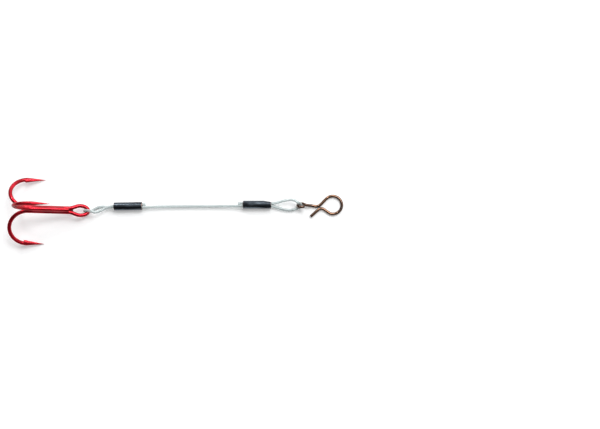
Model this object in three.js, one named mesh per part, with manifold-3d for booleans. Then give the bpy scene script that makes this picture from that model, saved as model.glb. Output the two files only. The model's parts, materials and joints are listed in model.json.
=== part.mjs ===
// A ready-made treble hook rig, lying as it lies on a table. A barbed treble hook hangs in one loop of a
// short nylon leader, and a quick-change clip hangs in the loop at its other end. A crimped sleeve closes
// each loop. Millimetres, +Z up, +X from the hook to the clip. The origin is on the table, under the
// middle of the hook and the clip.

import * as THREE from "three";
import { mergeVertices } from "three/addons/utils/BufferGeometryUtils.js";
import Module from "manifold-3d";

// Treble hook. Its three points stand 120 degrees apart round its middle line.
const hookWire = 0.96; // diameter of the wire
const trebleLength = 19.7; // from the back of the bends to the end of the eye
const pointRadius = 9.25; // from the middle line to the wire of each point
const pointReach = 9; // from the back of the bends to each tip
const shankGap = 0.04; // between the two shanks of the double hook
const eyeLength = 5.2; // outside, from the throat to the end
const eyeHole = 1.4; // width inside
const eyeWidest = 1.95; // from the middle of the end wire back to the widest place
const shankEnd = 4.9; // the single hook's shank stops this far from the end wire
const singleForward = 0.75; // how far the single hook's bend stands in front of the other two

// Points and barbs
const tipDiameter = 0.07;
const tipOffset = 0.08; // how far outside the wire's middle line the tip lies
const barbRise = 0.5; // how far the barb stands in from the wire
const barbSlit = 1; // length of the cut behind the barb
const barbThickness = 0.09; // at the barb's free end
const pointRoot = 0.12; // straight wire between a bend and the root of its point

// Brazing between the single hook and the double hook
const brazeFilm = 0.1; // thickness between the wires
const brazeClearance = 0.02; // between the brazing and each wire's surface
const brazeLength = 9;
const brazeStart = 0.3; // from the end of the single hook's shank
const brazeLowerEdge = 65; // degrees round each lower wire, from its outer side, where the fillet ends
const brazeUpperEdge = -20; // the same on the upper wire

// Leader
const leaderDiameter = 0.7;
const leaderRunning = 0.03; // room between the leader and the sleeve that holds it
const loopRoom = 0.08; // room between the leader and the wire that it is looped round
const strandRoom = 0.04; // room between the two strands in a sleeve
const hookTag = 0.85; // how far the leader's short end stands out of the hook's sleeve
const clipTag = 1.2; // the same at the clip's sleeve
const bendX = 3.9; // the middle of the leader, where it flexes
const leaderMiddle = { y: 1.36, z: 0.7 };
const bendRoom = 0.2; // how far each half stops from that place

// Crimped sleeves
const sleeveLength = 7;
const sleeveWall = 0.27;
const sleeveChamfer = 0.08;
const dentDepth = 0.1;
const dentRadius = 2.2;
const dentSpacing = 2.6;
const hookSleeve = { x: -12.33, y: 1.34, yaw: 1 };
const clipSleeve = { x: 19.8, y: 1.74, yaw: 0 };

// Quick-change clip. Its places are measured from where the leader holds its small eye.
const clipWire = 0.75; // diameter of the wire
const clipEyeRoom = 0.3; // room round the leader in its small eye
const clipEyeLean = 53; // degrees that the small eye stands up from the table
const clipLoopInside = 3.75; // diameter that a lure's eye hangs in
const clipLoopCentre = { x: 8.75, y: 0.17 };
const clipLoopStart = 135; // degrees round the loop where the kink runs into it
const clipLoopEnd = -105; // where the free arm leaves it
const clipKink = { x: 5.15, y: -0.2 };
const clipPinchGap = 0.06; // between the kink and the free arm that springs shut beside it
const clipPinchAngle = -40; // degrees, from the kink to the free arm
const clipTail = { x: 3.25, y: -2.71 }; // the free arm's square end

// Where the leader's loops hold the hook and the clip
const hookWireX = -22.19;
const hookWireY = 0.14;
const hookYaw = 0.6; // degrees
const clipWireX = 29.95;
const clipWireY = 1.57;

const tableRoom = 0.02; // between the table and what lies on it

const wireSides = 8;
const rad = THREE.MathUtils.degToRad;
const V = (x, y, z) => new THREE.Vector3(x, y, z);

const wasm = await Module();
wasm.setup();

// Worked out from the sizes above
const hookHeld = hookWire / 2 + leaderDiameter / 2 + loopRoom; // loop's middle line round the hook's eye
const clipHeld = clipWire / 2 + leaderDiameter / 2 + loopRoom;
const endWireZ = tableRoom + leaderDiameter / 2 + hookHeld; // the eye rests on the leader's lower strand
const shankY = (hookWire + shankGap) / 2;
const singleZ = Math.sqrt((hookWire + brazeFilm) ** 2 - shankY ** 2);
const middleZ = singleZ / 3; // height of the treble's middle line over the double hook's shanks
const bendBackX = -(trebleLength - hookWire);
const tipX = bendBackX - hookWire / 2 + pointReach;
const sleeveBore = leaderDiameter + leaderRunning; // radius round the two strands
const sleeveRadius = sleeveBore + sleeveWall;
const sleeveZ = tableRoom + sleeveRadius;
const halfSleeve = sleeveLength / 2;
const strandOffset = (leaderDiameter + strandRoom) / 2; // from the sleeve's middle line to each strand's
const clipEyeRadius = (leaderDiameter + clipEyeRoom + clipWire) / 2; // to the wire's middle line
const clipEyeZ = clipWire / 2 + clipEyeRadius * Math.sin(rad(clipEyeLean));

// A wire's middle line: one ring of the wire at each point, with the direction of a smooth curve.
class Route extends THREE.CatmullRomCurve3 {
  getPointAt(u, target) {
    return this.getPoint(u, target);
  }
  getTangentAt(u, target) {
    return this.getTangent(u, target);
  }
}

function rod(points, diameter, sides = wireSides) {
  const section = new THREE.Shape().absarc(0, 0, diameter / 2, 0, 2 * Math.PI);
  return new THREE.ExtrudeGeometry(section, {
    steps: points.length - 1,
    curveSegments: sides / 2,
    extrudePath: new Route(points, false, "centripetal"),
  });
}

function solidOf(geometry) {
  const plain = geometry.clone();
  plain.deleteAttribute("normal");
  plain.deleteAttribute("uv");
  const merged = mergeVertices(plain, 1e-4);
  return new wasm.Manifold(
    new wasm.Mesh({
      numProp: 3,
      vertProperties: merged.attributes.position.array,
      triVerts: new Uint32Array(merged.index.array),
    }),
  );
}

function geometryOf(solid) {
  const mesh = solid.getMesh();
  const geometry = new THREE.BufferGeometry();
  geometry.setAttribute("position", new THREE.BufferAttribute(mesh.vertProperties, 3));
  geometry.setIndex(new THREE.BufferAttribute(mesh.triVerts, 1));
  geometry.computeVertexNormals();
  return geometry;
}

const joined = (geometries) =>
  geometryOf(geometries.map(solidOf).reduce((all, next) => all.add(next)));

const cut = (body, tools) =>
  geometryOf(tools.map(solidOf).reduce((all, next) => all.subtract(next), solidOf(body)));

const materials = {
  hook: new THREE.MeshStandardMaterial({ color: 0xa5182a, roughness: 0.25, metalness: 0.8 }),
  braze: new THREE.MeshStandardMaterial({ color: 0x8c1424, roughness: 0.4, metalness: 0.7 }),
  leader: new THREE.MeshStandardMaterial({ color: 0xd8e2e2, roughness: 0.3, metalness: 0 }),
  sleeve: new THREE.MeshStandardMaterial({ color: 0x17181c, roughness: 0.35, metalness: 0.7 }),
  clip: new THREE.MeshStandardMaterial({ color: 0x5a3a2a, roughness: 0.3, metalness: 0.9 }),
};

function piece(name, geometry, material) {
  const mesh = new THREE.Mesh(geometry, material.clone());
  mesh.name = name;
  return mesh;
}

// ---- Treble hook. Its own origin is the middle of the eye's end wire, with X along the shank. ----

// The way out from a shank at (y, z) to the wire of its point, which lies at `angle` round the middle line.
function bendOf(y, z, angle, forward = 0) {
  const pointY = pointRadius * Math.cos(rad(angle));
  const pointZ = middleZ + pointRadius * Math.sin(rad(angle));
  const across = V(0, pointY - y, pointZ - z);
  const radius = across.length() / 2;
  const out = across.clone().normalize();
  const centre = V(bendBackX + forward + radius, y, z).addScaledVector(out, radius);
  return { centre, radius, out, tip: tipX + forward };
}

// The half circle of a bend, from the shank to the point, with a short straight length for the point.
function bendPoints({ centre, radius, out }) {
  const steps = 14;
  const points = [];
  for (let i = 0; i <= steps; i += 1) {
    const turn = (Math.PI * i) / steps;
    const at = centre.clone().addScaledVector(out, -radius * Math.cos(turn));
    at.x -= radius * Math.sin(turn);
    points.push(at);
  }
  const last = points[steps].clone();
  last.x += pointRoot;
  points.push(last);
  return points;
}

// A point with its barb. It is a cone, drawn out towards the inside of the bend at its root, and a slit
// behind the barb. Its own X runs to the tip, and its Y runs outwards.
function pointGeometry(bend) {
  const length = bend.tip - bend.centre.x;
  const wire = hookWire / 2;
  const cone = new THREE.CylinderGeometry(tipDiameter / 2, wire, length, 12);
  cone.rotateZ(-Math.PI / 2).translate(length / 2, 0, 0);
  const tall = (hookWire + barbRise) / hookWire;
  const lean = (tipOffset + barbRise / 2) / length;
  const shear = new THREE.Matrix4();
  shear.set(1, 0, 0, 0, lean, tall, 0, -barbRise / 2, 0, 0, 1, 0, 0, 0, 0, 1);
  cone.applyMatrix4(shear);
  const slit = new THREE.Shape();
  slit.moveTo(-0.2, -wire);
  slit.lineTo(barbSlit, -wire - 0.06);
  slit.lineTo(-0.2, -wire - barbRise + barbThickness);
  const slitGeometry = new THREE.ExtrudeGeometry(slit, { depth: 2 * hookWire, bevelEnabled: false });
  slitGeometry.translate(0, 0, -hookWire);
  const barbed = cut(cone, [slitGeometry]);
  const side = V(1, 0, 0).cross(bend.out);
  const place = new THREE.Matrix4().makeBasis(V(1, 0, 0), bend.out, side);
  place.setPosition(bend.centre.clone().addScaledVector(bend.out, bend.radius));
  return barbed.applyMatrix4(place);
}

// The eye's oval, from the throat on the +Y side round the end wire to the throat on the other side.
function eyePoints() {
  const half = (eyeHole + hookWire) / 2;
  const throat = eyeLength - hookWire / 2;
  const flareSteps = 5;
  const roundSteps = 6;
  const plusSide = [];
  for (let i = 0; i < flareSteps; i += 1) {
    const share = i / flareSteps;
    const spread = (1 - Math.cos(Math.PI * share)) / 2;
    plusSide.push(V(-throat + (throat - eyeWidest) * share, shankY + (half - shankY) * spread, 0));
  }
  for (let i = 0; i < roundSteps; i += 1) {
    const turn = (Math.PI / 2) * (1 - i / roundSteps);
    plusSide.push(V(-eyeWidest + eyeWidest * Math.cos(turn), half * Math.sin(turn), 0));
  }
  const minusSide = plusSide.map((p) => V(p.x, -p.y, 0)).reverse();
  return [...plusSide, V(0, 0, 0), ...minusSide];
}

// One wire makes two of the hooks and the eye between their shanks.
function doubleHook() {
  const plus = bendOf(shankY, 0, -30);
  const minus = bendOf(-shankY, 0, -150);
  const points = [...bendPoints(plus).reverse(), ...eyePoints(), ...bendPoints(minus)];
  return joined([rod(points, hookWire), pointGeometry(plus), pointGeometry(minus)]);
}

// The third hook lies in the groove between the double hook's shanks.
function singleHook() {
  const bend = bendOf(0, singleZ, 90, singleForward);
  const points = [V(-shankEnd, 0, singleZ), V(-shankEnd - 4, 0, singleZ), ...bendPoints(bend)];
  return joined([rod(points, hookWire), pointGeometry(bend)]);
}

// Brazing metal between the three shanks: it follows each wire, and ends in a fillet on both sides.
function brazing() {
  const reach = hookWire / 2 + brazeClearance;
  const inner = Math.acos(shankY / reach);
  const edge = rad(brazeLowerEdge);
  const upper = rad(brazeUpperEdge);
  const section = new THREE.Shape();
  section.absarc(shankY, 0, reach, edge, Math.PI - inner, false);
  section.absarc(-shankY, 0, reach, inner, Math.PI - edge, false);
  section.absarc(0, singleZ, reach, -Math.PI - upper, upper, false);
  const body = new THREE.ExtrudeGeometry(section, {
    depth: brazeLength,
    bevelEnabled: false,
    curveSegments: 6,
  });
  // The section is drawn with Y across and Z up, and is drawn out along X.
  const turn = new THREE.Matrix4().makeBasis(V(0, 1, 0), V(0, 0, 1), V(1, 0, 0));
  body.applyMatrix4(turn);
  return body.translate(-shankEnd - brazeStart - brazeLength, 0, 0);
}

// The angle at which the eye lies at its height while the two lower tips touch the table.
function restingTilt() {
  const tip = bendOf(shankY, 0, -30);
  const tipZ = tip.centre.z + (tip.radius + tipOffset) * tip.out.z - tipDiameter / 2;
  const far = Math.hypot(tipX, tipZ);
  return Math.atan2(-tipZ, -tipX) - Math.asin((endWireZ - tableRoom) / far);
}

function trebleHook() {
  const hook = new THREE.Group();
  hook.add(piece("double_hook", doubleHook(), materials.hook));
  hook.add(piece("single_hook", singleHook(), materials.hook));
  hook.add(piece("braze_joint", brazing(), materials.braze));
  hook.rotation.order = "ZYX";
  hook.rotation.set(0, restingTilt(), rad(hookYaw));
  hook.position.set(hookWireX, hookWireY, endWireZ);
  return hook;
}

// ---- Leader ----

// Two strands run through a sleeve side by side. `along` is measured from the sleeve's middle, and `turn`
// is the angle of the strand round the sleeve's middle line, from straight up towards +Y.
function inSleeve(sleeve, along, turn) {
  const yaw = rad(sleeve.yaw);
  const aside = strandOffset * Math.sin(rad(turn));
  return V(
    sleeve.x + along * Math.cos(yaw) - aside * Math.sin(yaw),
    sleeve.y + along * Math.sin(yaw) + aside * Math.cos(yaw),
    sleeveZ + strandOffset * Math.cos(rad(turn)),
  );
}

// One strand's way through a sleeve, which twists the pair from turnA to turnB.
function throughSleeve(sleeve, fromX, toX, turnA, turnB) {
  const steps = 4;
  const points = [];
  for (let i = 0; i <= steps; i += 1) {
    const share = i / steps;
    points.push(inSleeve(sleeve, fromX + (toX - fromX) * share, turnA + (turnB - turnA) * share));
  }
  return points;
}

// From the short end at the first sleeve, round the hook's eye, and on to the middle of the leader.
function hookSideRoute() {
  const overHook = endWireZ + hookHeld;
  const underHook = endWireZ - hookHeld;
  const round = hookHeld * Math.SQRT1_2;
  return [
    inSleeve(hookSleeve, halfSleeve + hookTag, 90),
    ...throughSleeve(hookSleeve, halfSleeve, -halfSleeve, 90, 0),
    V(-17.7, 0.88, 1.42),
    V(-18.5, 0.44, 1.56),
    V(-19.4, -0.02, 1.74),
    V(-20.4, -0.32, 1.92),
    V(-21.25, -0.1, overHook),
    V(hookWireX, hookWireY - 0.06, overHook),
    V(hookWireX - round, hookWireY - 0.03, endWireZ + round),
    V(hookWireX - hookHeld, hookWireY, endWireZ),
    V(hookWireX - round, hookWireY + 0.03, endWireZ - round),
    V(hookWireX, hookWireY + 0.06, underHook),
    V(-21.3, 0.4, underHook),
    V(-20.4, 0.94, underHook),
    V(-19.3, 1.26, 0.4),
    V(-18, 1.24, 0.5),
    V(-16.9, 1.25, 0.59),
    ...throughSleeve(hookSleeve, -halfSleeve, halfSleeve, 180, 270),
    V(-6.8, 1.16, 0.9),
    V(-3.8, 1.28, 0.78),
    V(0, 1.34, 0.72),
    V(bendX - bendRoom, leaderMiddle.y, leaderMiddle.z),
  ];
}

// From the middle of the leader through the second sleeve, round the clip's eye, and back to its short end.
function clipSideRoute() {
  const lean = rad(clipEyeLean);
  const over = clipHeld * Math.sin(lean);
  const up = clipHeld * Math.cos(lean);
  const round = clipHeld * Math.SQRT1_2;
  return [
    V(bendX + bendRoom, leaderMiddle.y, leaderMiddle.z),
    V(8, 1.38, 0.72),
    V(12, 1.39, 0.82),
    V(14.8, 1.39, 0.94),
    ...throughSleeve(clipSleeve, -halfSleeve, halfSleeve, 270, 225),
    V(24.4, 1.2, 0.66),
    V(25.6, 0.86, 0.6),
    V(26.9, 0.55, 0.5),
    V(28.1, 0.46, 0.45),
    V(29.1, 0.64, 0.5),
    V(clipWireX, clipWireY - over, clipEyeZ - up),
    V(clipWireX + round, clipWireY - over * Math.SQRT1_2, clipEyeZ - up * Math.SQRT1_2),
    V(clipWireX + clipHeld, clipWireY, clipEyeZ),
    V(clipWireX + round, clipWireY + over * Math.SQRT1_2, clipEyeZ + up * Math.SQRT1_2),
    V(clipWireX, clipWireY + over, clipEyeZ + up),
    V(29.25, 2.68, 1.64),
    V(28.4, 2.86, 1.62),
    V(27.3, 2.8, 1.5),
    V(26, 2.54, 1.36),
    V(24.7, 2.15, 1.28),
    ...throughSleeve(clipSleeve, halfSleeve, -halfSleeve, 45, 90),
    inSleeve(clipSleeve, -halfSleeve - clipTag, 90),
  ];
}

function sleeveGeometry() {
  const profile = [
    [sleeveBore, -halfSleeve],
    [sleeveRadius - sleeveChamfer, -halfSleeve],
    [sleeveRadius, -halfSleeve + sleeveChamfer],
    [sleeveRadius, halfSleeve - sleeveChamfer],
    [sleeveRadius - sleeveChamfer, halfSleeve],
    [sleeveBore, halfSleeve],
    [sleeveBore, -halfSleeve],
  ].map(([r, y]) => new THREE.Vector2(r, y));
  const tube = new THREE.LatheGeometry(profile, 20).rotateZ(-Math.PI / 2);
  const dents = [];
  for (const along of [-dentSpacing / 2, dentSpacing / 2]) {
    for (const side of [-1, 1]) {
      const dent = new THREE.CylinderGeometry(dentRadius, dentRadius, 2 * sleeveRadius, 32);
      dents.push(dent.translate(along, 0, side * (sleeveRadius + dentRadius - dentDepth)));
    }
  }
  return cut(tube, dents);
}

function sleeve(name, place) {
  const mesh = piece(name, sleeveGeometry(), materials.sleeve);
  mesh.position.set(place.x, place.y, sleeveZ);
  mesh.rotation.z = rad(place.yaw);
  return mesh;
}

// ---- Quick-change clip, bent from one wire. Its loop lies on the table, and its small eye leans. ----

// The wire from the small eye along the shank, over the kink, round the loop and back along the free arm.
function clipPoints() {
  const flat = clipWire / 2;
  const eyeRight = 2 * clipEyeRadius;
  const loopRadius = (clipLoopInside + clipWire) / 2;
  const pinch = clipWire + clipPinchGap;
  const pinchX = clipKink.x + pinch * Math.cos(rad(clipPinchAngle));
  const pinchY = clipKink.y + pinch * Math.sin(rad(clipPinchAngle));
  const shank = [
    V(eyeRight, 0, clipEyeZ),
    V(eyeRight + 0.5, 0.02, clipEyeZ - 0.12),
    V(eyeRight + 1.6, 0, flat + 0.1),
    V(clipKink.x - 0.7, clipKink.y + 0.03, flat),
    V(clipKink.x - 0.1, clipKink.y + 0.06, flat),
    V(clipKink.x + 0.4, clipKink.y + 0.36, flat),
  ];
  const loop = [];
  for (let angle = clipLoopStart; angle >= clipLoopEnd; angle -= 15) {
    const x = clipLoopCentre.x + loopRadius * Math.cos(rad(angle));
    const y = clipLoopCentre.y + loopRadius * Math.sin(rad(angle));
    loop.push(V(x, y, flat));
  }
  const arm = [
    V(pinchX + 1.55, pinchY - 0.75, flat),
    V(pinchX + 0.6, pinchY - 0.12, flat),
    V(pinchX, pinchY, flat),
    V(pinchX - 0.6, pinchY - 0.3, flat),
    V(clipTail.x, clipTail.y, flat),
  ];
  return [...shank, ...loop, ...arm];
}

function quickClip() {
  const ring = new THREE.TorusGeometry(clipEyeRadius, clipWire / 2, wireSides, 20);
  ring.rotateX(rad(-clipEyeLean)).translate(clipEyeRadius, 0, clipEyeZ);
  const clip = piece("quick_clip", joined([ring, rod(clipPoints(), clipWire)]), materials.clip);
  clip.position.set(clipWireX, clipWireY, 0);
  return clip;
}

const rig = new THREE.Group();
rig.add(trebleHook());
rig.add(piece("leader_hook_side", rod(hookSideRoute(), leaderDiameter), materials.leader));
rig.add(sleeve("hook_crimp", hookSleeve));
rig.add(piece("leader_clip_side", rod(clipSideRoute(), leaderDiameter), materials.leader));
rig.add(sleeve("clip_crimp", clipSleeve));
rig.add(quickClip());

export default rig;
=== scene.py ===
import json
import math

import bmesh
import bpy
from mathutils import Matrix, Quaternion, Vector


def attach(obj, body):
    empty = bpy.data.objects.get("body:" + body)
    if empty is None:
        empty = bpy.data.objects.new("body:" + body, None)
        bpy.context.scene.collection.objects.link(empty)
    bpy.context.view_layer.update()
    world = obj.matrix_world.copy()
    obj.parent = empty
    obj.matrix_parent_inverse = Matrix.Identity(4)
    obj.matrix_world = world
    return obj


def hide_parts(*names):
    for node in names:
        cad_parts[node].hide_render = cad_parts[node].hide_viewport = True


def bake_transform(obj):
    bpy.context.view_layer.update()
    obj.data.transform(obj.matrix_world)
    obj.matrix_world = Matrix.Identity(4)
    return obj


# A treble hook rig: its finished surfaces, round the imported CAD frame. Everything is in metres.
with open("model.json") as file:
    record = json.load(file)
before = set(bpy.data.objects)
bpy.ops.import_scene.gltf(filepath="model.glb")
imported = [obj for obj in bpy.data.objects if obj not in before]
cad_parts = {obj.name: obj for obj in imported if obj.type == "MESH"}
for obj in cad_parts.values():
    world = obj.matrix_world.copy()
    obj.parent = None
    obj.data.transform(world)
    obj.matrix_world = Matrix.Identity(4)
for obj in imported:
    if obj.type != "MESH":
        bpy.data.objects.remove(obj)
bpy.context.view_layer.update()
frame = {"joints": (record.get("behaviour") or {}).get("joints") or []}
joints = {joint["name"]: joint for joint in frame["joints"]}

# Camera, as the photograph was taken: nearly straight down, with the treble hook on the left
CAMERA_AIM = Vector((0.0305, -0.0006, 0))
CAMERA_ELEVATION = math.radians(82)
CAMERA_DISTANCE = 0.25
CAMERA_LENS = 60
SENSOR_WIDTH = 36

# Studio. The bright side is where the soft light comes from.
BRIGHT_SIDE = (0.5, 0.75, 0.42)
WORLD_DARK = 0.04
WORLD_BRIGHT = 1.5
DARK_UP_TO = 0.1  # how far a direction leans to the bright side before the light rises
BRIGHT_FROM = 0.95
WORLD_COLOUR = (0.97, 0.99, 1, 1)
KEY_LAMP = {"direction": (0.32, 0.5, 1), "distance": 0.6, "size": 0.3, "watts": 1.8}
GLINT_LAMP = {"direction": (-0.3, 0.8, 0.7), "distance": 0.6, "size": 0.1, "watts": 0.6}
FLOOR_HALF = 3
FLOOR_COLOUR = (0.8, 0.8, 0.8, 1)
FLOOR_LIFT = 0.3  # how much the floor glows to the camera, through the nylon and in mirrors

# Treble hook. Its own origin is the middle of the eye's end wire, with X along the shank.
HOOK_WIRE = 0.00096
HOOK_RADIUS = HOOK_WIRE / 2
TREBLE_LENGTH = 0.0197
POINT_RADIUS = 0.00925
POINT_REACH = 0.009
PLUS_ANGLE = -30  # degrees round the shank at which each point stands, from +Y towards +Z
MINUS_ANGLE = -150
UPPER_ANGLE = 90
SHANK_GAP = 0.00004
SHANK_Y = (HOOK_WIRE + SHANK_GAP) / 2
EYE_LENGTH = 0.0052
EYE_HOLE = 0.0014
EYE_WIDEST = 0.00195
EYE_HALF = (EYE_HOLE + HOOK_WIRE) / 2
EYE_THROAT = EYE_LENGTH - HOOK_RADIUS
SHANK_END = 0.0049
SHANK_STEPS = 24
SHANK_CHAMFER = 0.0002
WEB_LENGTH = 0.0012
WEB_START = 0.0006
WEB_THICKNESS = 0.0004
WEB_EDGE = 0.00002
WEB_HOLLOW = 0.35  # its thickness in the middle, as a share of that at the wires
WEB_DIP = 0.00016  # how far its free edge is drawn in at the middle
WEB_SINK = 0.2  # how much of the wire it runs into
WEB_SIDES = 24
SINGLE_FORWARD = 0.00075
BRAZE_FILM = 0.0001
BRAZE_LENGTH = 0.0096
BRAZE_START = 0.0001
BRAZE_TAPER = 0.0016
BRAZE_SINK = 0.00003
BRAZE_LOWER = (115, 53)  # degrees at which it meets each wire, at its ends and where it is full
BRAZE_UPPER = (-75, -8)
BRAZE_CROTCH = 0.8
TIP_RADIUS = 0.00003
TIP_OFFSET = 0.00008
BARB_RISE = 0.0005
BARB_SLIT = 0.0011
BARB_THICKNESS = 0.00016
BARB_THICKENING = 0.00012  # what its root is thicker than its free end
BARB_BACK = 0.0008  # how far the barb's free end lies behind the end of the bend
SLIT_OVERRUN = 0.0003  # how far the cut runs on behind the barb
SLIT_OFF_WIRE = 0.000015
SLIT_SLANT = 0.00005
SLIT_LEAST = 0.00001
RIDGE_NARROWING = 0.5
SPEAR_STEPS = 34
SPEAR_CROWDING = 0.9  # below 1, a point's rings lie closer together towards its tip
TIP_WEAR = 0.0007
TABLE_ROOM = 0.00002
HOOK_YAW = math.radians(0.6)
HOOK_SIDES = 28

# Leader
LEADER_DIAMETER = 0.0007
LEADER_RADIUS = LEADER_DIAMETER / 2
LEADER_SIDES = 20
LEADER_STEPS = 8
LOOP_ROOM = 0.00008
STRAND_OFFSET = 0.00037

# Sleeves. Each dent is its place along the sleeve, its width and its depth.
SLEEVE_LENGTH = 0.007
SLEEVE_RADIUS = 0.001
SLEEVE_BORE = 0.00073
SLEEVE_Z = 0.00102
HALF_SLEEVE = SLEEVE_LENGTH / 2
HOOK_SLEEVE = {
    "x": -0.01233, "y": 0.00134, "yaw": math.radians(1), "slope": 0,
    "dents": [(-0.0013, 0.0009, 0.00004), (0.0013, 0.001, 0.00005)],
}
CLIP_SLEEVE = {
    "x": 0.0198, "y": 0.00174, "yaw": 0, "slope": 0.0003,
    "dents": [(-0.0013, 0.001, 0.00005), (0.0013, 0.0009, 0.00004)],
}
SLOPE_FROM = 0.45  # where a slope begins, as a share of the way from the middle to the end
SLEEVE_CHAMFER = 0.0001
CHAMFER_ROUNDING = 0.3
SLEEVE_SIDES = 56
DENT_ROUNDING = 0.00005
DENT_SWELL = 0.25
RIM_WEAR = 0.0004
HOOK_TAG = 0.00085
CLIP_TAG = 0.0012

# Quick-change clip, measured from where the leader holds its small eye
CLIP_WIRE = 0.00075
CLIP_RADIUS = CLIP_WIRE / 2
CLIP_SIDES = 24
CLIP_STEPS = 6
CLIP_EYE_RADIUS = 0.000875
CLIP_EYE_TURNS = range(-46, -320, -8)  # degrees
CLIP_LOOP_TURNS = range(135, -106, -15)
CLIP_EYE_CHAMFER = 0.00007
CLIP_TAIL_CHAMFER = 0.00005
CLIP_WEAR = 0.0006
CLIP_LEAN = math.radians(53)
CLIP_LOOP_INSIDE = 0.00375
CLIP_LOOP_CENTRE = Vector((0.00875, 0.00017, 0))
CLIP_KINK = Vector((0.00515, -0.0002, 0))
CLIP_PINCH_GAP = 0.00006
CLIP_PINCH_ANGLE = math.radians(-40)
CLIP_TAIL = Vector((0.00325, -0.00271, 0))

X_AXIS = Vector((1, 0, 0))
UP = Vector((0, 0, 1))
hook_held = Vector(joints["treble_swing"]["pos_m"])
clip_held = Vector(joints["clip_swing"]["pos_m"])
leader_bend = Vector(joints["leader_bend"]["pos_m"])


# ---- Camera, light and floor ----


def add(name, data):
    """A new object in the scene."""
    made = bpy.data.objects.new(name, data)
    bpy.context.scene.collection.objects.link(made)
    return made


def make_camera():
    data = bpy.data.cameras.new("camera")
    data.lens = CAMERA_LENS
    data.sensor_width = SENSOR_WIDTH
    data.clip_start = 0.01
    camera = add("camera", data)
    back = Vector((0, -math.cos(CAMERA_ELEVATION), math.sin(CAMERA_ELEVATION)))
    camera.location = CAMERA_AIM + back * CAMERA_DISTANCE
    camera.rotation_euler = (-back).to_track_quat("-Z", "Y").to_euler()
    bpy.context.scene.camera = camera


def make_lamp(name, direction, distance, size, watts):
    data = bpy.data.lights.new(name, "AREA")
    data.shape = "DISK"
    data.size = size
    data.energy = watts
    lamp = add(name, data)
    towards = Vector(direction).normalized()
    lamp.location = towards * distance
    lamp.rotation_euler = (-towards).to_track_quat("-Z", "Y").to_euler()


def make_world():
    """Soft light from all round, that rises from dark to bright towards BRIGHT_SIDE."""
    world = bpy.data.worlds.new("studio")
    world.use_nodes = True
    bpy.context.scene.world = world
    nodes = world.node_tree.nodes
    links = world.node_tree.links
    place = nodes.new("ShaderNodeTexCoord")
    facing = nodes.new("ShaderNodeVectorMath")
    facing.operation = "DOT_PRODUCT"
    facing.inputs[1].default_value = Vector(BRIGHT_SIDE).normalized()
    links.new(place.outputs["Generated"], facing.inputs[0])
    level = nodes.new("ShaderNodeMapRange")
    level.interpolation_type = "SMOOTHSTEP"
    level.inputs["From Min"].default_value = DARK_UP_TO
    level.inputs["From Max"].default_value = BRIGHT_FROM
    level.inputs["To Min"].default_value = WORLD_DARK
    level.inputs["To Max"].default_value = WORLD_BRIGHT
    links.new(facing.outputs["Value"], level.inputs["Value"])
    links.new(level.outputs["Result"], nodes["Background"].inputs["Strength"])
    nodes["Background"].inputs["Color"].default_value = WORLD_COLOUR


def make_floor():
    """A white floor that keeps the shadow. It is lifted where it is seen, directly or in the part."""
    half = FLOOR_HALF
    corners = [(-half, -half, 0), (half, -half, 0), (half, half, 0), (-half, half, 0)]
    mesh = bpy.data.meshes.new("floor")
    mesh.from_pydata(corners, [], [(0, 1, 2, 3)])
    floor = add("floor", mesh)
    material, nodes, links = new_material("floor")
    nodes.clear()
    paper = nodes.new("ShaderNodeBsdfDiffuse")
    paper.inputs["Color"].default_value = FLOOR_COLOUR
    glow = nodes.new("ShaderNodeEmission")
    rays = nodes.new("ShaderNodeLightPath").outputs
    seen = combined(nodes, links, "MAXIMUM", rays["Is Camera Ray"], rays["Is Transmission Ray"])
    mirrored = combined(nodes, links, "MAXIMUM", seen, rays["Is Glossy Ray"])
    lift = combined(nodes, links, "MULTIPLY", mirrored, FLOOR_LIFT)
    links.new(lift, glow.inputs["Strength"])
    both = nodes.new("ShaderNodeAddShader")
    links.new(paper.outputs[0], both.inputs[0])
    links.new(glow.outputs[0], both.inputs[1])
    output = nodes.new("ShaderNodeOutputMaterial")
    links.new(both.outputs[0], output.inputs["Surface"])
    mesh.materials.append(material)


# ---- Mesh helpers ----


def smooth_curve(points, steps):
    """A centripetal Catmull-Rom curve through the points, as the CAD rods follow."""
    ends = [points[0] * 2 - points[1], *points, points[-1] * 2 - points[-2]]
    curve = []
    for p0, p1, p2, p3 in zip(ends, ends[1:], ends[2:], ends[3:]):
        d0 = math.sqrt((p1 - p0).length)
        d1 = math.sqrt((p2 - p1).length)
        d2 = math.sqrt((p3 - p2).length)
        start = ((p1 - p0) / d0 - (p2 - p0) / (d0 + d1) + (p2 - p1) / d1) * d1
        finish = ((p2 - p1) / d1 - (p3 - p1) / (d1 + d2) + (p3 - p2) / d2) * d1
        for i in range(steps):
            t = i / steps
            square = -3 * p1 + 3 * p2 - 2 * start - finish
            cube = 2 * p1 - 2 * p2 + start + finish
            curve.append(p1 + start * t + square * t ** 2 + cube * t ** 3)
    curve.append(points[-1].copy())
    return curve


def directions_along(path):
    last = len(path) - 1
    return [(path[min(i + 1, last)] - path[max(i - 1, 0)]).normalized() for i in range(last + 1)]


def normals_along(path, first, last=None):
    """A normal at each point, carried along the path from `first`.

    What is left to turn to `last` is shared out over the whole path.
    """
    along = directions_along(path)
    normal = (first - along[0] * first.dot(along[0])).normalized()
    normals = [normal]
    for before, after in zip(along, along[1:]):
        normal = before.rotation_difference(after) @ normal
        normal = (normal - after * normal.dot(after)).normalized()
        normals.append(normal)
    if last is not None:
        side = along[-1].cross(normals[-1])
        left = math.atan2(last.dot(side), last.dot(normals[-1]))
        steps = len(path) - 1
        normals = [Quaternion(a, left * i / steps) @ n for i, (a, n) in enumerate(zip(along, normals))]
    return normals


def between(first, last, share):
    return first + (last - first) * share


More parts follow.
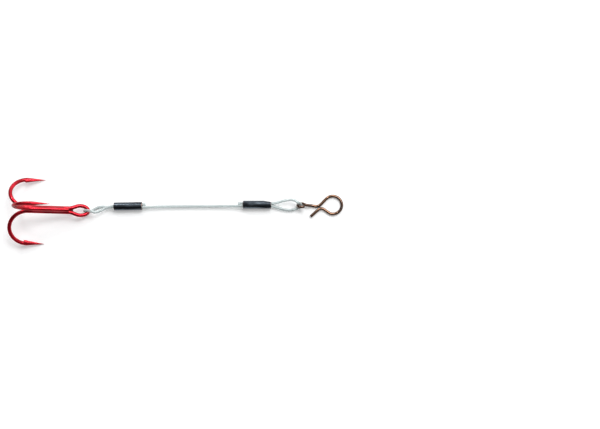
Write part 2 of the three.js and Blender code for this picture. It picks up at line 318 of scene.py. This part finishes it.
def circle(radius, sides):
    turns = [2 * math.pi * i / sides for i in range(sides)]
    return [(radius * math.cos(turn), radius * math.sin(turn)) for turn in turns]


def ring_at(place, along, normal, outline):
    side = along.cross(normal)
    return [place + normal * y + side * z for y, z in outline]


def tube_rings(path, normals, radius, sides):
    along = directions_along(path)
    return [ring_at(p, a, n, circle(radius, sides)) for p, a, n in zip(path, along, normals)]


def cut_end(before, last, chamfer, radius):
    """The rings that round off the last ring's edge, as a cut and tumbled wire end is."""
    middle = sum(last, Vector()) / len(last)
    out = (middle - sum(before, Vector()) / len(before)).normalized()
    rings = []
    for turn in (30, 60, 90):
        rise = chamfer * math.sin(math.radians(turn))
        shrink = 1 - chamfer * (1 - math.cos(math.radians(turn))) / radius
        rings.append([middle + (p - middle) * shrink + out * rise for p in last])
    return rings


def skin(name, rings, closed=False):
    """A closed mesh over rings of points. Its two ends are flat, unless the rings close on themselves."""
    sides = len(rings[0])
    count = len(rings)
    points = [p for ring in rings for p in ring]
    faces = []
    for i in range(count if closed else count - 1):
        this = i * sides
        following = (i + 1) % count * sides
        for j in range(sides):
            k = (j + 1) % sides
            faces.append((this + j, this + k, following + k, following + j))
    if not closed:
        faces.append(tuple(range(sides)))
        faces.append(tuple(range((count - 1) * sides, count * sides)))
    mesh = bpy.data.meshes.new(name)
    mesh.from_pydata(points, [], faces)
    return mesh


def clean(mesh):
    """Joins points that lie on each other and turns every face outwards."""
    work = bmesh.new()
    work.from_mesh(mesh)
    bmesh.ops.remove_doubles(work, verts=work.verts, dist=1e-7)
    bmesh.ops.dissolve_degenerate(work, edges=work.edges, dist=1e-8)
    bmesh.ops.recalc_face_normals(work, faces=work.faces)
    work.to_mesh(mesh)
    work.free()


def shade(mesh, angle=35):
    mesh.polygons.foreach_set("use_smooth", [True] * len(mesh.polygons))
    mesh.set_sharp_from_angle(angle=math.radians(angle))


def piece(name, mesh, material, body, nodes, place=None):
    """Finishes one piece: puts it in place, gives it its material, hides the CAD parts it replaces and
    attaches it to its body.
    """
    clean(mesh)
    if place is not None:
        mesh.transform(place)
    shade(mesh)
    mesh.materials.append(material)
    made = add(name, mesh)
    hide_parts(*nodes)
    if body is not None:
        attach(made, body)
    return made


def cut_away(mesh, tools):
    """The mesh with each tool's shape taken out of it."""
    body = add("cut_body", mesh)
    helpers = []
    for tool in tools:
        helper = add("cut_tool", tool)
        helpers.append(helper)
        cutter = body.modifiers.new("cut", "BOOLEAN")
        cutter.operation = "DIFFERENCE"
        cutter.solver = "EXACT"
        cutter.object = helper
    bpy.context.view_layer.update()
    graph = bpy.context.evaluated_depsgraph_get()
    result = bpy.data.meshes.new_from_object(body.evaluated_get(graph))
    for used in [body, *helpers]:
        bpy.data.objects.remove(used)
    return result


# ---- Material helpers ----


def new_material(name):
    material = bpy.data.materials.new(name)
    material.use_nodes = True
    return material, material.node_tree.nodes, material.node_tree.links


def noise(nodes, links, scale, detail=3, stretch=(1, 1, 1)):
    """Noise over the piece itself. A scale of 1000 gives patches about a millimetre across."""
    place = nodes.new("ShaderNodeTexCoord")
    mapping = nodes.new("ShaderNodeMapping")
    mapping.inputs["Scale"].default_value = stretch
    links.new(place.outputs["Object"], mapping.inputs["Vector"])
    texture = nodes.new("ShaderNodeTexNoise")
    texture.inputs["Scale"].default_value = scale
    texture.inputs["Detail"].default_value = detail
    links.new(mapping.outputs["Vector"], texture.inputs["Vector"])
    return texture.outputs["Fac"]


def colours(nodes, links, factor, stops):
    ramp = nodes.new("ShaderNodeValToRGB")
    elements = ramp.color_ramp.elements
    while len(elements) < len(stops):
        elements.new(0.5)
    for element, (at, colour) in zip(elements, stops):
        element.position = at
        element.color = (*colour, 1)
    links.new(factor, ramp.inputs["Fac"])
    return ramp.outputs["Color"]


def spread(nodes, links, factor, low, high, start=0.35, end=0.65):
    """The factor between start and end, as a value between low and high."""
    level = nodes.new("ShaderNodeMapRange")
    level.inputs["From Min"].default_value = start
    level.inputs["From Max"].default_value = end
    level.inputs["To Min"].default_value = low
    level.inputs["To Max"].default_value = high
    links.new(factor, level.inputs["Value"])
    return level.outputs["Result"]


def mixed(nodes, links, factor, first, second):
    """The first colour where the factor is 0, and the second where it is 1."""
    mix = nodes.new("ShaderNodeMix")
    mix.data_type = "RGBA"
    links.new(factor, mix.inputs["Factor"])
    for socket, colour in (("A", first), ("B", second)):
        target = [s for s in mix.inputs if s.name == socket and s.type == "RGBA"][0]
        if isinstance(colour, tuple):
            target.default_value = (*colour, 1)
        else:
            links.new(colour, target)
    return [s for s in mix.outputs if s.type == "RGBA"][0]


def combined(nodes, links, operation, first, second):
    """Two values put together by a math node. Each is another node's output, or a number."""
    node = nodes.new("ShaderNodeMath")
    node.operation = operation
    for socket, value in zip(node.inputs, (first, second)):
        if isinstance(value, float):
            socket.default_value = value
        else:
            links.new(value, socket)
    return node.outputs[0]


def bumps(nodes, links, shader, height, depth):
    bump = nodes.new("ShaderNodeBump")
    bump.inputs["Distance"].default_value = depth
    links.new(height, bump.inputs["Height"])
    links.new(bump.outputs["Normal"], shader.inputs["Normal"])


def wear_factor(nodes, links, low, high):
    """The share of bare surface that was painted on the mesh, broken up by fine noise."""
    painted = nodes.new("ShaderNodeAttribute")
    painted.attribute_name = "wear"
    total = combined(nodes, links, "ADD", painted.outputs["Fac"], noise(nodes, links, 5200, 4))
    return spread(nodes, links, total, 0, 1, low, high)


# ---- Materials ----


def lacquer(name, deep, light):
    """Clear red lacquer over bright wire, darker and lighter in patches and thin on the tips."""
    material, nodes, links = new_material(name)
    shader = nodes["Principled BSDF"]
    shader.inputs["Metallic"].default_value = 0.6
    shader.inputs["Specular IOR Level"].default_value = 0.3
    shader.inputs["Specular Tint"].default_value = (0.35, 0.12, 0.15, 1)
    shader.inputs["Coat Weight"].default_value = 0.3
    shader.inputs["Coat Roughness"].default_value = 0.04
    patches = noise(nodes, links, 420, 3)
    red = colours(nodes, links, patches, [(0.35, deep), (0.68, light)])
    worn = wear_factor(nodes, links, 1.1, 1.5)
    links.new(mixed(nodes, links, worn, red, (0.5, 0.3, 0.35)), shader.inputs["Base Color"])
    links.new(spread(nodes, links, patches, 0.1, 0.18), shader.inputs["Roughness"])
    bumps(nodes, links, shader, noise(nodes, links, 1300, 2), 0.0000015)
    return material


def nylon():
    """Clear single-strand nylon, a little milky, with fine drawing lines."""
    material, nodes, links = new_material("leader_nylon")
    shader = nodes["Principled BSDF"]
    shader.inputs["Transmission Weight"].default_value = 0.5
    shader.inputs["IOR"].default_value = 1.53
    milky = noise(nodes, links, 420, 3)
    tint = colours(nodes, links, milky, [(0.3, (0.66, 0.74, 0.74)), (0.7, (0.76, 0.82, 0.82))])
    links.new(tint, shader.inputs["Base Color"])
    links.new(spread(nodes, links, noise(nodes, links, 600), 0.12, 0.2), shader.inputs["Roughness"])
    bumps(nodes, links, shader, noise(nodes, links, 700, 2), 0.0000006)
    return material


def blackened():
    """Black oxide on a copper alloy: blue-grey where it shines, brown where its rims are worn."""
    material, nodes, links = new_material("black_sleeve")
    shader = nodes["Principled BSDF"]
    shader.inputs["Metallic"].default_value = 0.9
    patches = noise(nodes, links, 900, 4, (0.3, 1, 1))
    black = colours(nodes, links, patches, [(0.34, (0.018, 0.021, 0.027)), (0.68, (0.12, 0.145, 0.17))])
    worn = wear_factor(nodes, links, 1.2, 1.55)
    links.new(mixed(nodes, links, worn, black, (0.26, 0.12, 0.08)), shader.inputs["Base Color"])
    links.new(spread(nodes, links, patches, 0.14, 0.26), shader.inputs["Roughness"])
    bumps(nodes, links, shader, noise(nodes, links, 1500, 4, (0.4, 1, 1)), 0.000005)
    return material


def bronzed():
    """Bronze-brown plated spring wire, darker in patches, with drawing marks."""
    material, nodes, links = new_material("clip_wire")
    shader = nodes["Principled BSDF"]
    shader.inputs["Metallic"].default_value = 1
    patches = noise(nodes, links, 340, 3)
    brown = colours(nodes, links, patches, [(0.32, (0.05, 0.033, 0.03)), (0.68, (0.25, 0.12, 0.062))])
    worn = wear_factor(nodes, links, 0.95, 1.35)
    links.new(mixed(nodes, links, worn, brown, (0.6, 0.5, 0.44)), shader.inputs["Base Color"])
    links.new(spread(nodes, links, noise(nodes, links, 500), 0.06, 0.14), shader.inputs["Roughness"])
    shader.inputs["Coat Weight"].default_value = 0.5
    shader.inputs["Coat Tint"].default_value = (0.8, 0.9, 1, 1)
    shader.inputs["Coat Roughness"].default_value = 0.04
    bumps(nodes, links, shader, noise(nodes, links, 900, 2), 0.0000006)
    return material


def paint_wear(made, amount):
    """Writes how worn each point is, 0 to 1, from a function of its place."""
    mesh = made.data
    layer = mesh.attributes.new("wear", "FLOAT", "POINT")
    layer.data.foreach_set("value", [amount(point.co) for point in mesh.vertices])


# ---- Treble hook ----

single_z = math.sqrt((HOOK_WIRE + BRAZE_FILM) ** 2 - SHANK_Y ** 2)
middle_z = single_z / 3
bend_back_x = HOOK_WIRE - TREBLE_LENGTH
tip_x = bend_back_x - HOOK_RADIUS + POINT_REACH


def bend_of(y, z, angle, forward=0):
    """The half circle from a shank at (y, z) out to the wire of its point."""
    point_y = POINT_RADIUS * math.cos(math.radians(angle))
    point_z = middle_z + POINT_RADIUS * math.sin(math.radians(angle))
    across = Vector((0, point_y - y, point_z - z))
    radius = across.length / 2
    out = across.normalized()
    centre = Vector((bend_back_x + forward + radius, y, z)) + out * radius
    return {"centre": centre, "radius": radius, "out": out, "tip": tip_x + forward}


def on_bend(bend, turn):
    """The wire's middle line after this much of the bend's half circle."""
    outwards = bend["out"] * -math.cos(turn)
    return bend["centre"] + (outwards - X_AXIS * math.sin(turn)) * bend["radius"]


def bend_path(bend):
    """From the shank to where the free end of the barb lies over the wire."""
    steps = 56
    last = math.pi - BARB_BACK / bend["radius"]
    return [on_bend(bend, last * i / steps) for i in range(steps + 1)]


def eye_spread(share):
    """How far each wire lies from the middle, on the way from the throat (0) to the widest place (1)."""
    return SHANK_Y + (EYE_HALF - SHANK_Y) * (1 - math.cos(math.pi * share)) / 2


def eye_path():
    """From the throat on the +Y side, round the end wire, to the throat on the other side."""
    steps = 22
    plus_side = []
    for i in range(steps):
        share = i / steps
        x = -EYE_THROAT + (EYE_THROAT - EYE_WIDEST) * share
        plus_side.append(Vector((x, eye_spread(share), 0)))
    for i in range(steps):
        turn = math.pi / 2 * (1 - i / steps)
        plus_side.append(Vector((EYE_WIDEST * (math.cos(turn) - 1), EYE_HALF * math.sin(turn), 0)))
    minus_side = [Vector((p.x, -p.y, 0)) for p in reversed(plus_side)]
    return [*plus_side, Vector((0, 0, 0)), *minus_side]


def straight(start, end, steps):
    """Points between two places, without the places themselves."""
    return [start.lerp(end, i / steps) for i in range(1, steps)]


def spear_edge(ahead, length):
    """How far in from the wire's middle line the spear's inner edge lies, this far ahead of its root."""
    share = (ahead + BARB_BACK) / (length + BARB_BACK)
    return -(HOOK_RADIUS + BARB_RISE) * (1 - share) + (TIP_OFFSET - TIP_RADIUS) * share


def spear_outline(ahead, length, edge):
    """The spear's outline this far ahead of its root. The ridge of its barb faces inwards."""
    share = max(0, ahead / length)
    half = HOOK_RADIUS * (1 - share) + TIP_RADIUS * share
    middle = HOOK_RADIUS * (1 - share) + (TIP_OFFSET + TIP_RADIUS) * share - half
    depth = max(half, middle - edge)
    outline = []
    for y, z in circle(1, HOOK_SIDES):
        inwards = max(0, -y)
        narrow = 1 - RIDGE_NARROWING * inwards ** 2 * min(1, (depth / half - 1) * 2)
        outline.append((middle + half * y if y > 0 else middle + depth * y, half * z * narrow))
    return outline


def spear_rings(bend, forwards):
    """A point's rings, from its barb's free end to its tip. `forwards` is -1 if the wire runs back."""
    length = bend["tip"] - bend["centre"].x
    root = on_bend(bend, math.pi)
    rings = []
    for i in range(SPEAR_STEPS + 1):
        ahead = -BARB_BACK + (length + BARB_BACK) * (i / SPEAR_STEPS) ** SPEAR_CROWDING
        turn = math.pi + min(0, ahead) / bend["radius"]
        place = on_bend(bend, turn) if ahead < 0 else root + X_AXIS * ahead
        normal = bend["out"] * -math.cos(turn) - X_AXIS * math.sin(turn)
        along = (bend["out"] * math.sin(turn) - X_AXIS * math.cos(turn)) * forwards
        sag = bend["radius"] * (1 + math.cos(turn))
        edge = spear_edge(ahead, length) + sag
        rings.append(ring_at(place, along, normal, spear_outline(ahead, length, edge)))
    return rings


def slit_tool(bend):
    """The wedge that is cut out between a barb and its wire."""
    length = bend["tip"] - bend["centre"].x
    root = on_bend(bend, math.pi)
    stations = [-BARB_BACK - SLIT_OVERRUN, -BARB_BACK, -BARB_BACK / 2, 0, BARB_SLIT - BARB_BACK]
    over = []
    under = []
    for ahead in stations:
        sag = bend["radius"] * (1 - math.cos(min(0, ahead) / bend["radius"]))
        closing = max(0, (ahead + BARB_BACK) / BARB_SLIT)
        over.append((ahead, -HOOK_RADIUS - sag - SLIT_OFF_WIRE - SLIT_SLANT * closing))
        barb = BARB_THICKNESS + BARB_THICKENING * closing
        under.append((ahead, min(over[-1][1] - SLIT_LEAST, spear_edge(ahead, length) + barb)))
    corners = [*over, *reversed(under)]
    side = X_AXIS.cross(bend["out"])
    rings = []
    for across in (-HOOK_WIRE, HOOK_WIRE):
        rings.append([root + X_AXIS * x + bend["out"] * y + side * across for x, y in corners])
    tool = skin("slit", rings)
    clean(tool)
    return tool


def resting_tilt():
    """The angle at which the eye lies at its height while the two lower tips touch the table."""
    bend = bend_of(SHANK_Y, 0, PLUS_ANGLE)
    reach = bend["radius"] + TIP_OFFSET
    tip_z = bend["centre"].z + reach * bend["out"].z - TIP_RADIUS
    far = math.hypot(tip_x, tip_z)
    return math.atan2(-tip_z, -tip_x) - math.asin((hook_held.z - TABLE_ROOM) / far)


def hook_place():
    turn = Matrix.Rotation(HOOK_YAW, 4, "Z") @ Matrix.Rotation(resting_tilt(), 4, "Y")
    return Matrix.Translation(hook_held) @ turn


def double_hook_mesh():
    plus = bend_of(SHANK_Y, 0, PLUS_ANGLE)
    minus = bend_of(-SHANK_Y, 0, MINUS_ANGLE)
    plus_bend = list(reversed(bend_path(plus)))
    minus_bend = bend_path(minus)
    eye = eye_path()
    path = [*plus_bend, *straight(plus_bend[-1], eye[0], SHANK_STEPS), *eye]
    path += [*straight(eye[-1], minus_bend[0], SHANK_STEPS), *minus_bend]
    normals = normals_along(path, plus["out"], minus["out"])
    wire = tube_rings(path, normals, HOOK_RADIUS, HOOK_SIDES)
    rings = [*reversed(spear_rings(plus, -1)), *wire[1:-1], *spear_rings(minus, 1)]
    mesh = skin("double_hook_wire", rings)
    clean(mesh)
    return cut_away(mesh, [slit_tool(plus), slit_tool(minus)])


def single_hook_mesh():
    bend = bend_of(0, single_z, UPPER_ANGLE, SINGLE_FORWARD)
    curve = bend_path(bend)
    start = Vector((-SHANK_END, 0, single_z))
    path = [start, *straight(start, curve[0], SHANK_STEPS), *curve]
    normals = normals_along(path, -UP, bend["out"])
    wire = tube_rings(path, normals, HOOK_RADIUS, HOOK_SIDES)
    end = cut_end(wire[1], wire[0], SHANK_CHAMFER, HOOK_RADIUS)
    rings = [*reversed(end), *wire[:-1], *spear_rings(bend, 1)]
    mesh = skin("single_hook_wire", rings)
    clean(mesh)
    return cut_away(mesh, [slit_tool(bend)])


def braze_outline(fill):
    """Metal between the three shanks: it hugs each wire, and its two fillets grow with `fill`."""
    hug = HOOK_RADIUS - BRAZE_SINK
    lower = math.radians(between(*BRAZE_LOWER, fill))
    upper = math.radians(between(*BRAZE_UPPER, fill))
    steps = 8

    def arc(y, z, first, last):
        turns = [first + (last - first) * i / steps for i in range(steps + 1)]
        return [(y + hug * math.cos(turn), z + hug * math.sin(turn)) for turn in turns]

    plus = arc(SHANK_Y, 0, lower, math.pi)
    minus = arc(-SHANK_Y, 0, 0, math.pi - lower)
    over = arc(0, single_z, -math.pi - upper, upper)

    def fillet(start, end):
        crotch = ((start[0] + end[0]) / 2 * BRAZE_CROTCH, (start[1] + end[1]) / 2)
        points = []
        for i in range(1, steps):
            t = i / steps
            weights = ((1 - t) ** 2, 2 * t * (1 - t), t ** 2)
            weighted = list(zip(weights, (start, crotch, end)))
            points.append(tuple(sum(w * p[k] for w, p in weighted) for k in (0, 1)))
        return points

    return [*plus, *minus, *fillet(minus[-1], over[0]), *over, *fillet(over[-1], plus[0])]


def braze_mesh():
    steps = 48
    rings = []
    for i in range(steps + 1):
        along = BRAZE_LENGTH * i / steps
        from_end = min(along, BRAZE_LENGTH - along)
        share = min(1, from_end / BRAZE_TAPER)
        fill = math.sin(math.pi / 2 * share)
        x = -SHANK_END - BRAZE_START - along
        rings.append([Vector((x, y, z)) for y, z in braze_outline(fill)])
    return skin("brazing", rings)


def web_mesh():
    """Brazing that has run into the eye's throat: a thin web between the two wires where they part. Its
    near-black colour is painted shade.
    """
    steps = 16
    rings = []
    for i in range(steps + 1):
        share = i / steps
        x = -EYE_THROAT - WEB_START + (WEB_LENGTH + WEB_START) * share
        flare = max(0, (x + EYE_THROAT) / (EYE_THROAT - EYE_WIDEST))
        reach = eye_spread(flare) - HOOK_WIRE * WEB_SINK
        thick = WEB_THICKNESS * (1 - share ** 2) + WEB_EDGE
        ring = []
        for y, z in circle(1, WEB_SIDES):
            hollow = WEB_HOLLOW + (1 - WEB_HOLLOW) * abs(y)
            ring.append(Vector((x - (1 - abs(y)) * WEB_DIP * share, reach * y, thick * z * hollow)))
        rings.append(ring)
    return skin("throat_shade_web", rings)


def make_treble():
    red = lacquer("hook_lacquer", (0.32, 0.003, 0.01), (0.6, 0.008, 0.024))
    braze_red = lacquer("braze_lacquer", (0.22, 0.005, 0.012), (0.42, 0.014, 0.03))
    # The throat web's near-black red is painted shade, the dark of the eye's throat, and not the
    # brazing's own colour.
    throat_shade_red = lacquer("throat_painted_shade", (0.02, 0.002, 0.004), (0.07, 0.006, 0.012))
    place = hook_place()
    back = place.inverted()

    def tip_wear(at):
        local = back @ at
        outside = math.hypot(local.y, local.z - middle_z) > POINT_RADIUS / 2
        return max(0, 1 - (tip_x - local.x) / TIP_WEAR) if outside else 0

    parts = [
        ("double_hook_wire", double_hook_mesh(), red, "hook_lacquer", "double_hook"),
        ("single_hook_wire", single_hook_mesh(), red, "hook_lacquer", "single_hook"),
        ("brazing", braze_mesh(), braze_red, "braze_lacquer", "braze_joint"),
        ("throat_shade_web", web_mesh(), throat_shade_red, "braze_lacquer", "braze_joint"),
    ]
    for name, mesh, material, slot, node in parts:
        made = piece(name, mesh, material, "treble", [node], place)
        paint_wear(made, tip_wear)


# ---- Leader and sleeves ----


def in_sleeve(sleeve, along, turn):
    """A strand's place in a sleeve. `turn` is its angle round the middle line, from up towards +Y."""
    aside = STRAND_OFFSET * math.sin(math.radians(turn))
    x = sleeve["x"] + along * math.cos(sleeve["yaw"]) - aside * math.sin(sleeve["yaw"])
    y = sleeve["y"] + along * math.sin(sleeve["yaw"]) + aside * math.cos(sleeve["yaw"])
    return Vector((x, y, SLEEVE_Z + STRAND_OFFSET * math.cos(math.radians(turn))))


def through_sleeve(sleeve, start, end, first_turn, last_turn):
    steps = 4
    shares = [i / steps for i in range(steps + 1)]
    turns = [between(first_turn, last_turn, share) for share in shares]
    return [in_sleeve(sleeve, between(start, end, s), t) for s, t in zip(shares, turns)]


def leader_route():
    """The leader's middle line, from its short end at the hook's sleeve to that at the clip's."""
    diagonal = math.sqrt(0.5)
    held = HOOK_RADIUS + LEADER_RADIUS + LOOP_ROOM
    slant = held * diagonal
    x, y, z = hook_held
    over_hook = z + held
    under_hook = z - held
    clip_bight = CLIP_RADIUS + LEADER_RADIUS + LOOP_ROOM
    over = clip_bight * math.sin(CLIP_LEAN)
    up = clip_bight * math.cos(CLIP_LEAN)
    around = clip_bight * diagonal
    cx, cy, cz = clip_held
    points = [
        in_sleeve(HOOK_SLEEVE, HALF_SLEEVE + HOOK_TAG, 90),
        *through_sleeve(HOOK_SLEEVE, HALF_SLEEVE, -HALF_SLEEVE, 90, 0),
        (-0.0177, 0.00088, 0.00142),
        (-0.0185, 0.00044, 0.00156),
        (-0.0194, -0.00002, 0.00174),
        (-0.0204, -0.00032, 0.00192),
        (-0.02125, -0.0001, over_hook),
        (x, y - 0.00006, over_hook),
        (x - slant, y - 0.00003, z + slant),
        (x - held, y, z),
        (x - slant, y + 0.00003, z - slant),
        (x, y + 0.00006, under_hook),
        (-0.0213, 0.0004, under_hook),
        (-0.0204, 0.00094, under_hook),
        (-0.0193, 0.00126, 0.0004),
        (-0.018, 0.00124, 0.0005),
        (-0.0169, 0.00125, 0.00059),
        *through_sleeve(HOOK_SLEEVE, -HALF_SLEEVE, HALF_SLEEVE, 180, 270),
        (-0.0068, 0.00116, 0.0009),
        (-0.0038, 0.00128, 0.00078),
        (0, 0.00134, 0.00072),
        leader_bend,
        (0.008, 0.00138, 0.00072),
        (0.012, 0.00139, 0.00082),
        (0.0148, 0.00139, 0.00094),
        *through_sleeve(CLIP_SLEEVE, -HALF_SLEEVE, HALF_SLEEVE, 270, 225),
        (0.0244, 0.0012, 0.00066),
        (0.0256, 0.00086, 0.0006),
        (0.0269, 0.00055, 0.0005),
        (0.0281, 0.00046, 0.00045),
        (0.0291, 0.00064, 0.0005),
        (cx, cy - over, cz - up),
        (cx + around, cy - over * diagonal, cz - up * diagonal),
        (cx + clip_bight, cy, cz),
        (cx + around, cy + over * diagonal, cz + up * diagonal),
        (cx, cy + over, cz + up),
        (0.02925, 0.00268, 0.00164),
        (0.0284, 0.00286, 0.00162),
        (0.0273, 0.0028, 0.0015),
        (0.026, 0.00254, 0.00136),
        (0.0247, 0.00215, 0.00128),
        *through_sleeve(CLIP_SLEEVE, HALF_SLEEVE, -HALF_SLEEVE, 45, 90),
        in_sleeve(CLIP_SLEEVE, -HALF_SLEEVE - CLIP_TAG, 90),
    ]
    return smooth_curve([Vector(point) for point in points], LEADER_STEPS)


def make_leader(material):
    route = leader_route()
    rings = tube_rings(route, normals_along(route, UP), LEADER_RADIUS, LEADER_SIDES)
    nodes = ["leader_hook_side", "leader_clip_side"]
    leader = piece("leader", skin("leader", rings), material, None, nodes)
    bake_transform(leader)


def dent_at(along, places):
    """How deep the crimping tool's jaws have pressed at this place along a sleeve."""
    return sum(depth * math.exp(-((along - at) / width) ** 2) for at, width, depth in places)


def sleeve_mesh(name, dents, slope):
    """A round tube, pressed flat from above and below at each dent.

    `slope` draws in the +Y side of its end at +X.
    """
    steps = 64
    chamfer = SLEEVE_CHAMFER
    rounding = chamfer * CHAMFER_ROUNDING
    straight_part = SLEEVE_LENGTH - 2 * chamfer
    stations = [(-HALF_SLEEVE, chamfer), (-HALF_SLEEVE + rounding, rounding)]
    stations += [(-HALF_SLEEVE + chamfer + straight_part * i / steps, 0) for i in range(steps + 1)]
    stations += [(HALF_SLEEVE - rounding, rounding), (HALF_SLEEVE, chamfer)]
    slope_start = HALF_SLEEVE * SLOPE_FROM
    slope_length = HALF_SLEEVE * (1 - SLOPE_FROM)
    rings = []
    for along, inset in stations:
        radius = SLEEVE_RADIUS - inset
        press = dent_at(along, dents)
        ring = []
        for c, s in circle(1, SLEEVE_SIDES):
            z = radius * c
            flat = math.copysign(soft_least(abs(z), radius - press, DENT_ROUNDING), z)
            lean = slope * max(0, s) * max(0, (along - slope_start) / slope_length)
            swell = press * DENT_SWELL
            ring.append(Vector((along, (radius + swell) * s - lean, flat)))
        rings.append(ring)
    for along in (HALF_SLEEVE, -HALF_SLEEVE):
        bore = circle(SLEEVE_BORE, SLEEVE_SIDES)
        rings.append([Vector((along, y, z)) for z, y in bore])
    return skin(name, rings, closed=True)


def soft_least(a, b, blend):
    """The smaller of two values, with the corner between them rounded."""
    share = max(0, blend - abs(a - b)) / blend
    return min(a, b) - share ** 2 * blend / 4


def make_sleeve(name, sleeve, material, body, node):
    turn = Matrix.Rotation(sleeve["yaw"], 4, "Z")
    place = Matrix.Translation((sleeve["x"], sleeve["y"], SLEEVE_Z)) @ turn
    mesh = sleeve_mesh(name, sleeve["dents"], sleeve["slope"])
    made = piece(name, mesh, material, body, [node], place)
    back = place.inverted()

    def rim_wear(at):
        to_end = HALF_SLEEVE - abs((back @ at).x)
        return max(0, 1 - to_end / RIM_WEAR)

    paint_wear(made, rim_wear)
    return made


# ---- Quick-change clip ----


def clip_path():
    """From the small eye along the shank, over the kink, round the loop and back past the kink."""
    flat = CLIP_RADIUS
    centre = clip_held + X_AXIS * CLIP_EYE_RADIUS
    eye = []
    for angle in CLIP_EYE_TURNS:
        turn = math.radians(angle)
        across = CLIP_EYE_RADIUS * math.sin(turn)
        eye.append(centre + Vector((
            CLIP_EYE_RADIUS * math.cos(turn), across * math.cos(CLIP_LEAN), -across * math.sin(CLIP_LEAN)
        )))
    corner = Vector((clip_held.x, clip_held.y, 0))
    right = 2 * CLIP_EYE_RADIUS
    kink = CLIP_KINK
    shank = [
        Vector((right + 0.00022, 0.0001, clip_held.z - 0.0001)),
        Vector((right + 0.0008, 0.00002, clip_held.z - 0.00028)),
        Vector((right + 0.0016, 0, flat + 0.0001)),
        Vector((kink.x - 0.0007, kink.y + 0.00003, flat)),
        Vector((kink.x - 0.0001, kink.y + 0.00006, flat)),
        Vector((kink.x + 0.0004, kink.y + 0.00036, flat)),
    ]
    loop = []
    radius = (CLIP_LOOP_INSIDE + CLIP_WIRE) / 2
    for angle in CLIP_LOOP_TURNS:
        turn = math.radians(angle)
        loop.append(CLIP_LOOP_CENTRE + Vector((radius * math.cos(turn), radius * math.sin(turn), flat)))
    pinch = CLIP_WIRE + CLIP_PINCH_GAP
    pinch_x = kink.x + pinch * math.cos(CLIP_PINCH_ANGLE)
    pinch_y = kink.y + pinch * math.sin(CLIP_PINCH_ANGLE)
    arm = [
        Vector((pinch_x + 0.00155, pinch_y - 0.00075, flat)),
        Vector((pinch_x + 0.0006, pinch_y - 0.00012, flat)),
        Vector((pinch_x, pinch_y, flat)),
        Vector((pinch_x - 0.0006, pinch_y - 0.0003, flat)),
        CLIP_TAIL + UP * flat,
    ]
    return smooth_curve([*eye, *[corner + p for p in (*shank, *loop, *arm)]], CLIP_STEPS)


def make_clip():
    path = clip_path()
    rings = tube_rings(path, normals_along(path, UP), CLIP_RADIUS, CLIP_SIDES)
    start = cut_end(rings[1], rings[0], CLIP_EYE_CHAMFER, CLIP_RADIUS)
    finish = cut_end(rings[-2], rings[-1], CLIP_TAIL_CHAMFER, CLIP_RADIUS)
    mesh = skin("clip", [*reversed(start), *rings, *finish])
    clip = piece("clip", mesh, bronzed(), "clip", ["quick_clip"])
    tail = path[-1]

    def wear(at):
        return max(0, 1 - (at - tail).length / CLIP_WEAR)

    paint_wear(clip, wear)


# ---- The scene ----

make_camera()
black = blackened()
hook_sleeve = make_sleeve("hook_sleeve", HOOK_SLEEVE, black, "hook_side", "hook_crimp")
clip_sleeve = make_sleeve("clip_sleeve", CLIP_SLEEVE, black, "clip_side", "clip_crimp")
make_leader(nylon())
make_treble()
make_clip()
make_floor()
make_world()
make_lamp("key", **KEY_LAMP)
make_lamp("glint", **GLINT_LAMP)

bpy.context.scene.view_settings.view_transform = "Standard"
